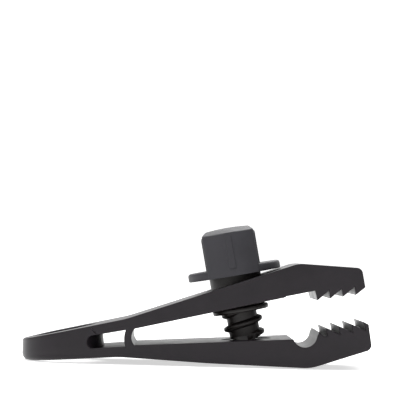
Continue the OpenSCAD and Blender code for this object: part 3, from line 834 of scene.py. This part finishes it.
class TARPCLIP_OT_knob(bpy.types.Operator):
    """Models the thumb knob: round flange, domed wing, ribs and end strips"""
    bl_idname = "tarpclip.knob"
    bl_label = "Thumb knob"
    bl_options = {"REGISTER", "UNDO"}

    def execute(self, context):
        sizes = context.scene.tarp_clip_knob
        height, width, length = sizes.height / MM, sizes.wing_width / MM, sizes.wing_length / MM
        rim, thick = sizes.flange_radius / MM, sizes.flange_thickness / MM
        lower_edge = [(rim - inward, up) for inward, up in FLANGE_LOWER_EDGE]
        upper_edge = [(rim - inward, thick - down) for inward, down in FLANGE_UPPER_EDGE]
        knob = lathe("thumb_grip", [(0, 0)] + lower_edge + upper_edge + [(0, thick)], steps=128)
        crown = (length * length / 4 + CROWN_DROP * CROWN_DROP) / (2 * CROWN_DROP)
        wing = self.wing(length / 2, width, height, crown)
        soften(wing, WING_EDGE, lambda middle: float(middle[2] > WING_EDGE_FROM), least=50)
        combine(knob, wing, "UNION")
        for end in (-1, 1):
            combine(knob, self.strip(length / 2, end, height), "UNION")
        combine(knob, self.ribs(sizes.rib_count, width, thick, height, crown), "UNION")
        knob.rotation_euler = (0, 0, KNOB_TURN)
        settle(knob)
        to_screw_axis(knob)
        smooth(knob, 35)
        material = grained_plastic("knob_nylon", context.scene.tarp_clip_colours.knob, *KNOB_NYLON)
        finish_piece(knob, material)
        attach(knob, "thumb_screw")
        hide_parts("thumb_knob")
        return {"FINISHED"}

    def drum(self, radius, low, height, taper, sides=160):
        """A round block whose radius narrows towards its top by the taper."""
        piece = cylinder("drum", radius, low, height, sides)
        pick(piece, "VERT", lambda v: v.co.z > (low + height) / 2 * MM)
        share = (radius - taper) / radius
        bpy.ops.transform.resize(value=(share, share, 1), center_override=(0, 0, 0))
        bpy.ops.object.mode_set(mode="OBJECT")
        return piece

    def crowned(self, piece, height, crown):
        """Cuts the top of a piece to the knob's shallow dome."""
        clear_selection()
        bpy.ops.mesh.primitive_uv_sphere_add(segments=256, ring_count=128, radius=crown * MM)
        dome = bpy.context.object
        dome.name = dome.data.name = "dome"
        dome.rotation_euler = (math.pi / 2, 0, 0)
        dome.location = (0, 0, (height - crown) * MM)
        settle(dome)
        return combine(piece, dome, "INTERSECT")

    def wing(self, radius, width, height, crown):
        """The wing between thumb and finger, with both long top edges cut off at a slant."""
        wing = self.drum(radius, WING_FOOT, height, WING_TAPER)
        side, top = width / 2, width / 2 - WING_BEVEL
        section = [
            (-side, -SECTION_PASS), (side, -SECTION_PASS), (side, height - WING_BEVEL, WING_BEVEL_RADIUS),
            (top, height), (top, height + SECTION_PASS), (-top, height + SECTION_PASS), (-top, height),
            (-side, height - WING_BEVEL, WING_BEVEL_RADIUS),
        ]
        combine(wing, thicken(trace("section", rounded(section, steps=6)), SECTION_CUT), "INTERSECT")
        self.crowned(wing, height, crown)
        tidy_faces(wing)
        return wing

    def strip(self, radius, end, height):
        """The narrow raised strip up one end of the wing."""
        top = height - CROWN_DROP - STRIP_BELOW_CROWN
        strip = self.drum(radius + STRIP_PROUD, STRIP_FOOT, top, STRIP_TAPER)
        low, high = sorted((end * (radius - STRIP_REACH), end * (radius + STRIP_REACH)))
        sides = block("sides", (-STRIP_HALF_WIDTH, low, 0), (STRIP_HALF_WIDTH, high, STRIP_CUT))
        combine(strip, sides, "INTERSECT")
        soften(strip, STRIP_EDGE, lambda middle: 1.0, segments=1)
        return strip

    def ribs(self, count, width, thick, height, crown):
        """The upright ribs, in a group at each end of both sides, cut off under the dome."""
        first = cylinder("ribs", RIB_RADIUS, thick - RIB_SUNK, height, sides=16)
        spots = [(side * width / 2, group * (RIB_FIRST + RIB_STEP * i))
                 for side in (-1, 1) for group in (-1, 1) for i in range(count)]
        copies = []
        for spot in spots[1:]:
            work_on(first)
            bpy.ops.object.duplicate()
            bpy.ops.transform.translate(value=(spot[0] * MM, spot[1] * MM, 0))
            copies.append(bpy.context.object)
        work_on(first)
        bpy.ops.transform.translate(value=(spots[0][0] * MM, spots[0][1] * MM, 0))
        for piece in copies:
            piece.select_set(True)
        bpy.ops.object.join()
        settle(first)
        self.crowned(first, height - RIB_BELOW_CROWN, crown)
        soften(first, RIB_EDGE, lambda middle: float(middle[2] > height / 2), segments=2)
        return first


class TARPCLIP_OT_stage(bpy.types.Operator):
    """Sets up the pale floor, the soft light and the camera"""
    bl_idname = "tarpclip.stage"
    bl_label = "Stage"
    bl_options = {"REGISTER", "UNDO"}

    def execute(self, context):
        self.sweep(context.scene.tarp_clip_colours.floor)
        self.world(context.scene)
        for lamp in LAMPS:
            self.lamp(*lamp)
        clear_selection()
        bpy.ops.object.camera_add(location=CAMERA_PLACE)
        camera = context.object
        camera.name = "camera"
        turn = Matrix.Identity(4)
        for angle, axis in CAMERA_TURNS:
            turn = turn @ Matrix.Rotation(math.radians(angle), 4, axis)
        camera.rotation_euler = turn.to_euler()
        camera.data.sensor_width = CAMERA_SENSOR
        camera.data.lens = CAMERA_LENS
        camera.data.clip_start, camera.data.clip_end = CAMERA_NEAR, CAMERA_FAR
        context.scene.camera = camera
        context.scene.view_settings.view_transform = "Standard"
        return {"FINISHED"}

    def sweep(self, colour):
        """A floor that turns up into a backdrop."""
        clear_selection()
        bpy.ops.mesh.primitive_plane_add(size=FLOOR_SIZE, location=(0, FLOOR_BACK, 0))
        floor = bpy.context.object
        floor.name = floor.data.name = "floor"

        def ends(edge):
            return [floor.data.vertices[i].co for i in edge.vertices]

        pick(floor, "EDGE", lambda edge: all(end.y > BACKDROP_FROM for end in ends(edge)))
        bpy.ops.mesh.extrude_region_move(TRANSFORM_OT_translate={"value": (0, 0, BACKDROP_HEIGHT)})
        pick(floor, "EDGE", lambda edge: all(end.y > BACKDROP_FROM and end.z < BACKDROP_HEIGHT / 2
                                             for end in ends(edge)))
        bpy.ops.mesh.bevel(offset=BACKDROP_BEND, segments=16, affect="EDGES")
        bpy.ops.object.mode_set(mode="OBJECT")
        settle(floor)
        smooth(floor, 60)
        material, nodes, links, surface = bare_material("pale_floor")
        both = nodes.new("ShaderNodeAddShader")
        diffuse = nodes.new("ShaderNodeBsdfDiffuse")
        diffuse.inputs["Color"].default_value = colour
        glow = nodes.new("ShaderNodeEmission")
        links.new(self.seen_fraction(nodes, links, FLOOR_GLOW), glow.inputs["Strength"])
        links.new(diffuse.outputs["BSDF"], both.inputs[0])
        links.new(glow.outputs["Emission"], both.inputs[1])
        links.new(both.outputs["Shader"], surface)
        floor.data.materials.append(material)

    def seen_fraction(self, nodes, links, strength):
        """A strength that holds only for what the camera, a reflection or a clear body sees."""
        path = nodes.new("ShaderNodeLightPath")
        first = nodes.new("ShaderNodeMath")
        first.operation = "MAXIMUM"
        second = nodes.new("ShaderNodeMath")
        second.operation = "MAXIMUM"
        scale = nodes.new("ShaderNodeMath")
        scale.operation = "MULTIPLY"
        scale.inputs[1].default_value = strength
        links.new(path.outputs["Is Camera Ray"], first.inputs[0])
        links.new(path.outputs["Is Glossy Ray"], first.inputs[1])
        links.new(first.outputs["Value"], second.inputs[0])
        links.new(path.outputs["Is Transmission Ray"], second.inputs[1])
        links.new(second.outputs["Value"], scale.inputs[0])
        return scale.outputs["Value"]

    def world(self, scene):
        """A plain white surround."""
        world = bpy.data.worlds.new("studio")
        world.use_nodes = True
        background = world.node_tree.nodes["Background"]
        background.inputs["Color"].default_value = (1, 1, 1, 1)
        background.inputs["Strength"].default_value = SURROUND_STRENGTH
        scene.world = world

    def lamp(self, name, spot, size, power):
        """A large soft lamp that faces the clip."""
        clear_selection()
        bpy.ops.object.light_add(type="AREA", location=spot)
        lamp = bpy.context.object
        lamp.name = name
        lamp.data.shape = "SQUARE"
        lamp.data.size = size
        lamp.data.energy = power
        lamp.rotation_euler = (-Vector(spot)).to_track_quat("-Z", "Y").to_euler()


class TARPCLIP_PT_panel(bpy.types.Panel):
    """Lists the clip's pieces and their sizes"""
    bl_idname = "TARPCLIP_PT_panel"
    bl_label = "Tarp Clip"
    bl_space_type = "VIEW_3D"
    bl_region_type = "UI"
    bl_category = "Tarp Clip"

    def draw(self, context):
        for operator in OPERATORS:
            self.layout.operator(operator.bl_idname)
        for group in GROUPS:
            box = self.layout.box()
            settings = getattr(context.scene, group)
            for name in settings.bl_rna.properties.keys():
                if name not in {"rna_type", "name"}:
                    box.prop(settings, name)


OPERATORS = (
    TARPCLIP_OT_moulded_body, TARPCLIP_OT_screw, TARPCLIP_OT_ring, TARPCLIP_OT_knob, TARPCLIP_OT_stage,
)
GROUPS = {
    "tarp_clip_body": ClipBodySizes,
    "tarp_clip_screw": ClipScrewSizes,
    "tarp_clip_knob": ClipKnobSizes,
    "tarp_clip_colours": ClipColours,
}


def register():
    for group in GROUPS.values():
        bpy.utils.register_class(group)
    for name, group in GROUPS.items():
        setattr(bpy.types.Scene, name, PointerProperty(type=group))
    for operator in OPERATORS:
        bpy.utils.register_class(operator)
    bpy.utils.register_class(TARPCLIP_PT_panel)


def unregister():
    bpy.utils.unregister_class(TARPCLIP_PT_panel)
    for operator in reversed(OPERATORS):
        bpy.utils.unregister_class(operator)
    for name, group in GROUPS.items():
        delattr(bpy.types.Scene, name)
        bpy.utils.unregister_class(group)


def main():
    register()
    bpy.ops.tarpclip.moulded_body()
    bpy.ops.tarpclip.screw()
    bpy.ops.tarpclip.ring()
    bpy.ops.tarpclip.knob()
    bpy.ops.tarpclip.stage()
    bpy.context.view_layer.update()


if __name__ == "__main__":
    main()
